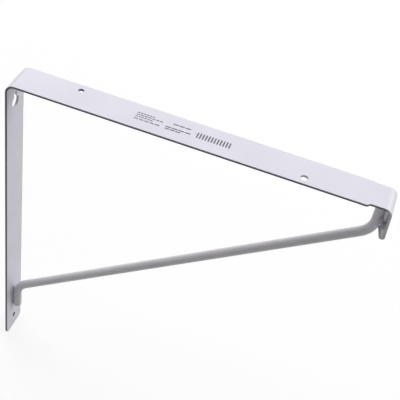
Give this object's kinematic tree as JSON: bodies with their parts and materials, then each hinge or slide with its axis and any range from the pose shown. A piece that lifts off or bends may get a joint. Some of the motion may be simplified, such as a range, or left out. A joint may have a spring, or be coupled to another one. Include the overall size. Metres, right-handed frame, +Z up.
{
  "type": "shelf bracket",
  "caption": "Right-angled steel shelf bracket: a folded strap with a wall leg, shelf arm and hemmed front tab, braced by a welded bent round rod.",
  "frame": {"origin": "where the wall plane, the plane under the shelf and the strap's centreline cross", "axes": "+X out from the wall along the shelf arm, +Z up out of the shelf face, +Y across the strap"},
  "size_m": [0.3061, 0.0286, 0.304],
  "materials": {
    "powder_coat": "satin powder coat over steel"
  },
  "bodies": {
    "root": {"strap": "powder_coat", "brace_rod": "powder_coat", "front_weld": "powder_coat"}
  },
  "joints": []
}
